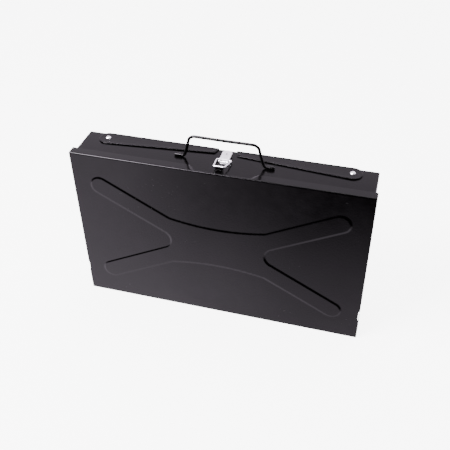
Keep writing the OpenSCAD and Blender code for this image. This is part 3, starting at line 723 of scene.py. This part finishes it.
def leg(row, side):
    along, pivot_x = (1, -PIVOT_X) if side == "left" else (-1, PIVOT_X)
    up, wall_z = (1, TRAY_TOP) if row == "top" else (-1, TRAY_FOOT)
    verts, faces = [], []
    rings = leg_rings()
    for inset, height in rings:
        outline = leg_outline(inset)
        verts += [(pivot_x + along * x, PIVOT_Y + y, wall_z + up * height) for x, y in outline]
    count = len(outline)
    for low in range(0, count * (len(rings) - 1), count):
        for k in range(count):
            m = (k + 1) % count
            faces.append((low + k, low + m, low + count + m, low + count + k))
    faces.append(tuple(range(len(verts) - count, len(verts))))
    ob = make(f"leg_{row}_{side}_finished", verts, faces, SMALL_PAINT)
    web = max(ob.data.polygons, key=lambda p: p.area)
    if web.normal.z * up < 0:
        ob.data.flip_normals()
    thicken(ob, LEG_SHEET)
    split_edges(ob, 42)
    stands_for(ob, f"leg_{row}_{side}_body", f"leg_{row}_{side}")


for leg_side in ("left", "right"):
    for leg_row in ("top", "bottom"):
        leg(leg_row, leg_side)

# ---------------------------------------------------------------- handle and latch


def handle():
    other_half = [(-x, z) for x, z in HANDLE_HALF[::-1]]
    path = bend_path(HANDLE_HALF + other_half, HANDLE_BENDS + HANDLE_BENDS[::-1], 7.5)
    points = []
    for x, z in resample(path, 6.0):
        # the grip sags and wanders a little, as a hand-bent wire does
        sag = 0.35 * math.exp(-((x - 8.0) / 22.0) ** 2) if z > 30 else 0.0
        wander = 0.12 * math.sin(x / 9.0) if z > 20 else 0.0
        points.append((CARRY_X + x, HANDLE_Y + wander, HANDLE_Z + z - sag))
    ob = wire("handle_finished", points, HANDLE_R, 28, WIRE_PAINT)
    split_edges(ob, 50)
    stands_for(ob, "handle_body", "handle")


def latch_bail():
    rise = CASE_TOP + KEEPER_RISE + BAIL_CLEARANCE + BAIL_R - BAIL_Z
    run = BAIL_Y - (LID_BACK - KEEPER_WALL - KEEPER_TO_BAR)
    reach = math.hypot(run, rise)
    half = [(BAIL_FRONT_X, reach), (BAIL_BACK_X, 0.0), (BAIL_FOOT_X, 0.0)]
    other_half = [(-x, v) for x, v in half[::-1]]
    path = resample(bend_path(other_half + half, [0] + [BAIL_BEND] * 4 + [0], 10), 4.0)
    points = [(CARRY_X + x, BAIL_Y - v * run / reach, BAIL_Z + v * rise / reach) for x, v in path]
    ob = wire("latch_bail_finished", points, BAIL_R, 20, ZINC_WIRE)
    split_edges(ob, 50)
    stands_for(ob, "latch_bail_body", "latch_bail")


handle()
latch_bail()

refined("latch_lever", "latch_lever_body", ZINC, 0.22, 3)
refined("latch_base", "tray", ZINC, 0.2, 2)
refined("latch_pin", "tray", ZINC, 0.3, 3)
refined("latch_base_rivets", "tray", ZINC, 0.15, 2)
refined("keeper", "lid", SMALL_PAINT, 0.3, 3)
for end in ("left", "right"):
    refined(f"handle_bracket_{end}", "tray", SMALL_PAINT, 0.3, 3)
refined("leg_rivets", "tray", ZINC, 0.25, 3)
for end in ("left", "right"):
    refined(f"hinge_{end}_tray_leaf", "tray", SMALL_PAINT, 0.15, 2)
    refined(f"hinge_{end}_lid_leaf", "lid", SMALL_PAINT, 0.15, 2)
    refined(f"hinge_{end}_pin", "tray", BARE_WIRE, 0.3, 2)
for end in ("top", "bottom"):
    refined(f"grate_rail_{end}", "tray", SMALL_PAINT, 0.25, 2)

# nodes kept from the CAD take their slot's material
slot_of = {part["node"]: part["material_slot"] for part in frame["record"]["subparts"]}
for node_name, node_object in frame["nodes"].items():
    node_object.data.materials.clear()
    node_object.data.materials.append(SLOT_MATERIALS[slot_of[node_name]])

# ---------------------------------------------------------------- stage

STUDIO_TINT = (1.0, 0.89, 1.03)
CLOTH_LEFT = 3.8
CLOTH_LOW = 1.6
CLOTH_MIDDLE = 1.5
CLOTH_MOST = 4.5
SKY_LOW = 2.3
SKY_HIGH = 1.7
OVERHEAD = 0.6
WINDOW = 70.0
WINDOW_TOWARDS = Vector((-0.47, -0.42, 0.78)).normalized()


def stage_piece(ob, camera=False, glossy=False, shadow=False):
    """Limits which rays meet a stage piece"""
    ob.visible_camera = camera
    ob.visible_glossy = glossy
    ob.visible_diffuse = False
    ob.visible_transmission = False
    ob.visible_shadow = shadow


def ball(name, radius, centre, material):
    bm = bmesh.new()
    bmesh.ops.create_uvsphere(bm, u_segments=64, v_segments=32, radius=radius)
    mesh = bpy.data.meshes.new(name)
    bm.to_mesh(mesh)
    bm.free()
    mesh.materials.append(material)
    ob = link(name, mesh)
    ob.location = centre
    return ob


def glowing(name, colour):
    material = bpy.data.materials.new(name)
    material.use_nodes = True
    tree = material.node_tree
    tree.nodes.clear()
    out = tree.nodes.new("ShaderNodeOutputMaterial")
    glow = tree.nodes.new("ShaderNodeEmission")
    glow.inputs["Color"].default_value = (*colour, 1)
    tree.links.new(glow.outputs[0], out.inputs["Surface"])
    return material, tree, glow


def plain_white():
    material, _, glow = glowing("backdrop_white", (1, 1, 1))
    glow.inputs["Strength"].default_value = 7.0
    return material


def front_cloth(tree, left, low, y):
    """White cloth on the floor in front, brightest at the left, that the front panel mirrors"""
    near = remap(tree, low, 0.600, 0.645, 0.0, CLOTH_LOW)
    nearer = remap(tree, low, 0.645, 0.73, 0.0, CLOTH_LOW * 0.9)
    glow = calc(tree, "ADD", remap(tree, left, 0.26, 0.43, 0.0, CLOTH_LEFT), calc(tree, "ADD", near, nearer))
    glow = calc(tree, "ADD", glow, remap(tree, left, 0.08, 0.23, 0.0, CLOTH_MIDDLE))
    glow = calc(tree, "MINIMUM", glow, CLOTH_MOST)
    glow = calc(tree, "MULTIPLY", glow, remap(tree, low, 0.30, 0.45, 0.0, 1.0))
    glow = calc(tree, "MULTIPLY", glow, remap(tree, low, 0.76, 0.90, 1.0, 0.75))
    return calc(tree, "MULTIPLY", glow, remap(tree, y, -0.35, -0.10, 1.0, 0.0))


def back_cloth(tree, y, z):
    """White cloth behind, brighter near the horizon than overhead"""
    glow = remap(tree, z, 0.50, 0.64, SKY_LOW, SKY_HIGH)
    glow = calc(tree, "MULTIPLY", glow, remap(tree, y, -0.45, 0.05, 0.0, 1.0))
    return calc(tree, "MULTIPLY", glow, remap(tree, z, -0.90, -0.05, 0.36, 1.0))


def studio():
    """What the gloss mirrors: white cloth behind and at the left, a dark room towards the front right"""
    material, tree, glow = glowing("studio_cards", STUDIO_TINT)
    direction = tree.nodes.new("ShaderNodeVectorMath")
    direction.operation = "NORMALIZE"
    tree.links.new(tree.nodes.new("ShaderNodeTexCoord").outputs["Object"], direction.inputs[0])
    split = tree.nodes.new("ShaderNodeSeparateXYZ")
    tree.links.new(direction.outputs[0], split.inputs[0])
    x, y, z = split.outputs
    left = calc(tree, "MULTIPLY", x, -1.0)
    low = calc(tree, "MULTIPLY", z, -1.0)
    total = calc(tree, "ADD", front_cloth(tree, left, low, y), back_cloth(tree, y, z))
    total = calc(tree, "MAXIMUM", total, remap(tree, z, 0.80, 0.97, 0.0, OVERHEAD))
    # a small bright window high at the front left
    towards = tree.nodes.new("ShaderNodeVectorMath")
    towards.operation = "DOT_PRODUCT"
    tree.links.new(direction.outputs[0], towards.inputs[0])
    towards.inputs[1].default_value = WINDOW_TOWARDS
    window = remap(tree, towards.outputs["Value"], 0.960, 0.975, 0.0, WINDOW)
    tree.links.new(calc(tree, "MAXIMUM", total, window), glow.inputs["Strength"])
    return material


bpy.ops.mesh.primitive_plane_add(size=60)
floor = bpy.context.object
floor.name = "floor"
floor.data.materials.append(floor_paper())
stage_piece(floor, camera=True, shadow=True)
stage_piece(ball("backdrop", 25.0, (0, 0, 0), plain_white()), camera=True)
stage_piece(ball("studio", 6.0, (0, 0, 0.14), studio()), glossy=True)

# ---------------------------------------------------------------- light

world = bpy.data.worlds.new("studio")
world.use_nodes = True
background = world.node_tree.nodes["Background"]
background.inputs["Color"].default_value = (0.98, 0.985, 1.0, 1)
background.inputs["Strength"].default_value = 0.85
world.cycles_visibility.glossy = False
bpy.context.scene.world = world


def area_light(name, place, target, size_x, size_y, watts):
    data = bpy.data.lights.new(name, "AREA")
    data.shape = "RECTANGLE"
    data.size = size_x
    data.size_y = size_y
    data.energy = watts
    ob = bpy.data.objects.new(name, data)
    bpy.context.scene.collection.objects.link(ob)
    ob.location = place
    ob.rotation_euler = (Vector(target) - Vector(place)).to_track_quat("-Z", "Y").to_euler()


area_light("key", (-1.3, -1.2, 1.9), (0, 0, 0.15), 1.2, 0.9, 130)
area_light("top", (0.2, 0.8, 2.2), (0, 0, 0.1), 1.6, 1.2, 30)
